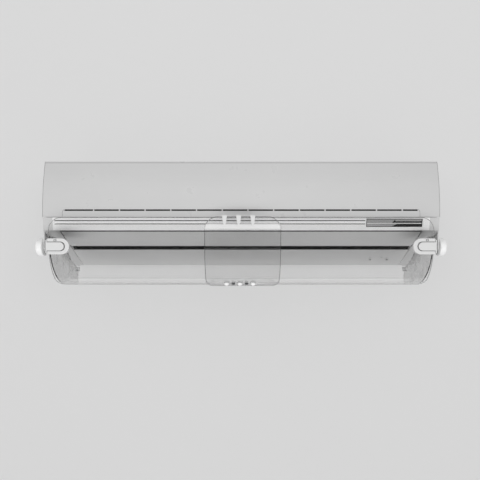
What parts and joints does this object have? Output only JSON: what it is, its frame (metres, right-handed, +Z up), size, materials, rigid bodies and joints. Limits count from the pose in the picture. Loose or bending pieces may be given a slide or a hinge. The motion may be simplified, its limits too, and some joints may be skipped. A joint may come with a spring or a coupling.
{
  "type": "split air conditioner indoor unit with wind deflector",
  "caption": "Wall-hung indoor air conditioner with a hinged front panel, motorised louver, inner coil and cross-flow fan, and a clear clip-on wind deflector that tilts on side knobs.",
  "frame": {"origin": "middle of the mounting plate's back face, on the wall", "axes": "+Y into the wall, +X to the right as seen from the room, along the cabinet, +Z up"},
  "size_m": [1.109, 0.249, 0.3388],
  "materials": {
    "cabinet_white": "satin moulded white",
    "chassis_plastic": "matt moulded light grey",
    "louver_plastic": "satin moulded grey-white",
    "clear_plastic": "polished clear sheet",
    "stud_clear": "polished milky clear",
    "smoked_plastic": "polished smoked window",
    "fitting_white": "moulded white",
    "vane_plastic": "matt moulded black",
    "filter_plastic": "woven mesh in a moulded frame",
    "hose_plastic": "corrugated pale hose",
    "galvanised_plate": "galvanised sheet",
    "motor_steel": "plated can",
    "screw_steel": "dark plated",
    "coil_fins": "coated fins",
    "copper": "drawn copper tube",
    "circuit_board": "solder-masked board",
    "rubber_black": "moulded rubber",
    "rubber_clear": "soft clear pad",
    "pipe_foam": "pale foam sleeve",
    "adhesive_foam": "foam tape"
  },
  "bodies": {
    "cabinet": {"mounting_plate": "galvanised_plate", "rear_chassis": "chassis_plastic", "drain_pan": "chassis_plastic", "front_casing": "cabinet_white", "display_window": "smoked_plastic", "display_board": "circuit_board", "louver_motor": "motor_steel", "fan_motor": "motor_steel", "fan_bearing": "rubber_black", "evaporator_front": "coil_fins", "evaporator_rear": "coil_fins", "coil_tube_front": "copper", "coil_tube_rear": "copper", "liquid_pipe": "copper", "suction_pipe": "pipe_foam", "drain_hose": "hose_plastic", "control_box": "chassis_plastic", "control_board": "circuit_board", "side_bracket_left": "fitting_white", "side_bracket_right": "fitting_white", "adhesive_pad_left": "adhesive_foam", "adhesive_pad_right": "adhesive_foam", "pivot_screw_left": "screw_steel", "pivot_screw_right": "screw_steel"},
    "front_panel": {"front_panel": "cabinet_white"},
    "filter_left": {"filter_left": "filter_plastic"},
    "filter_right": {"filter_right": "filter_plastic"},
    "louver": {"horizontal_louver": "louver_plastic"},
    "fan": {"cross_flow_fan": "vane_plastic"},
    "vane_left_1": {"vane_left_1": "vane_plastic"},
    "vane_left_2": {"vane_left_2": "vane_plastic"},
    "vane_left_3": {"vane_left_3": "vane_plastic"},
    "vane_left_4": {"vane_left_4": "vane_plastic"},
    "vane_link_left": {"vane_link_left": "vane_plastic"},
    "vane_right_1": {"vane_right_1": "vane_plastic"},
    "vane_right_2": {"vane_right_2": "vane_plastic"},
    "vane_right_3": {"vane_right_3": "vane_plastic"},
    "vane_right_4": {"vane_right_4": "vane_plastic"},
    "vane_link_right": {"vane_link_right": "vane_plastic"},
    "auto_button": {"auto_button": "chassis_plastic"},
    "knob_left": {"knob_left": "fitting_white"},
    "knob_right": {"knob_right": "fitting_white"},
    "deflector": {"wing_left": "clear_plastic", "wing_right": "clear_plastic", "cheek_left": "clear_plastic", "cheek_right": "clear_plastic", "rest_pad_left": "rubber_clear", "rest_pad_right": "rubber_clear", "receiver_left": "fitting_white", "receiver_right": "fitting_white", "hinge_tongue_left": "fitting_white", "hinge_tongue_right": "fitting_white", "joiner_plate": "clear_plastic", "comb_clip": "fitting_white", "stud_1": "stud_clear", "stud_2": "stud_clear", "stud_3": "stud_clear", "joiner_screw_1": "screw_steel", "joiner_screw_2": "screw_steel"}
  },
  "joints": [
    {"name": "front_panel_hinge", "type": "hinge", "parent": "cabinet", "child": "front_panel", "pos_m": [0, -0.19, 0.135], "axis": [-1, 0, 0], "range_deg": [0, 60]},
    {"name": "filter_left_slide", "type": "slide", "parent": "cabinet", "child": "filter_left", "axis": [0, 0, 1], "range_m": [0, 0.14]},
    {"name": "filter_right_slide", "type": "slide", "parent": "cabinet", "child": "filter_right", "axis": [0, 0, 1], "range_m": [0, 0.14]},
    {"name": "louver_hinge", "type": "hinge", "parent": "cabinet", "child": "louver", "pos_m": [0, -0.12632, -0.07666], "axis": [1, 0, 0], "range_deg": [0, 38]},
    {"name": "fan_spin", "type": "hinge", "parent": "cabinet", "child": "fan", "pos_m": [0, -0.085, 0.013], "axis": [1, 0, 0], "continuous": true},
    {"name": "vane_left_1_pivot", "type": "hinge", "parent": "cabinet", "child": "vane_left_1", "pos_m": [-0.4, -0.1095, -0.0623], "axis": [0, -0.5736, 0.8192], "range_deg": [-30, 30]},
    {"name": "vane_left_2_pivot", "type": "hinge", "parent": "cabinet", "child": "vane_left_2", "pos_m": [-0.29, -0.1095, -0.0623], "axis": [0, -0.5736, 0.8192], "range_deg": [-30, 30]},
    {"name": "vane_left_3_pivot", "type": "hinge", "parent": "cabinet", "child": "vane_left_3", "pos_m": [-0.18, -0.1095, -0.0623], "axis": [0, -0.5736, 0.8192], "range_deg": [-30, 30]},
    {"name": "vane_left_4_pivot", "type": "hinge", "parent": "cabinet", "child": "vane_left_4", "pos_m": [-0.07, -0.1095, -0.0623], "axis": [0, -0.5736, 0.8192], "range_deg": [-30, 30]},
    {"name": "vane_link_left_pivot", "type": "hinge", "parent": "vane_left_1", "child": "vane_link_left", "pos_m": [-0.4, -0.09557, -0.04523], "axis": [0, -0.5736, 0.8192], "range_deg": [-30, 30]},
    {"name": "vane_right_1_pivot", "type": "hinge", "parent": "cabinet", "child": "vane_right_1", "pos_m": [0.04, -0.1095, -0.0623], "axis": [0, -0.5736, 0.8192], "range_deg": [-30, 30]},
    {"name": "vane_right_2_pivot", "type": "hinge", "parent": "cabinet", "child": "vane_right_2", "pos_m": [0.15, -0.1095, -0.0623], "axis": [0, -0.5736, 0.8192], "range_deg": [-30, 30]},
    {"name": "vane_right_3_pivot", "type": "hinge", "parent": "cabinet", "child": "vane_right_3", "pos_m": [0.26, -0.1095, -0.0623], "axis": [0, -0.5736, 0.8192], "range_deg": [-30, 30]},
    {"name": "vane_right_4_pivot", "type": "hinge", "parent": "cabinet", "child": "vane_right_4", "pos_m": [0.37, -0.1095, -0.0623], "axis": [0, -0.5736, 0.8192], "range_deg": [-30, 30]},
    {"name": "vane_link_right_pivot", "type": "hinge", "parent": "vane_right_1", "child": "vane_link_right", "pos_m": [0.04, -0.09557, -0.04523], "axis": [0, -0.5736, 0.8192], "range_deg": [-30, 30]},
    {"name": "auto_button_press", "type": "slide", "parent": "cabinet", "child": "auto_button", "axis": [0, 0.4656, 0.885], "range_m": [0, 0.0015], "stiffness_N_per_m": 300, "springref_m": -0.001},
    {"name": "knob_left_turn", "type": "hinge", "parent": "cabinet", "child": "knob_left", "pos_m": [-0.54, -0.183, -0.085], "axis": [1, 0, 0], "range_deg": [0, 360]},
    {"name": "knob_right_turn", "type": "hinge", "parent": "cabinet", "child": "knob_right", "pos_m": [0.54, -0.183, -0.085], "axis": [1, 0, 0], "range_deg": [-360, 0]},
    {"name": "deflector_tilt", "type": "hinge", "parent": "cabinet", "child": "deflector", "pos_m": [0, -0.183, -0.085], "axis": [1, 0, 0], "range_deg": [0, 15]}
  ],
  "couplings": [
    {"joint": "vane_left_2_pivot", "follows": "vane_left_1_pivot", "ratio": 1},
    {"joint": "vane_left_3_pivot", "follows": "vane_left_1_pivot", "ratio": 1},
    {"joint": "vane_left_4_pivot", "follows": "vane_left_1_pivot", "ratio": 1},
    {"joint": "vane_link_left_pivot", "follows": "vane_left_1_pivot", "ratio": -1},
    {"joint": "vane_right_2_pivot", "follows": "vane_right_1_pivot", "ratio": 1},
    {"joint": "vane_right_3_pivot", "follows": "vane_right_1_pivot", "ratio": 1},
    {"joint": "vane_right_4_pivot", "follows": "vane_right_1_pivot", "ratio": 1},
    {"joint": "vane_link_right_pivot", "follows": "vane_right_1_pivot", "ratio": -1}
  ]
}
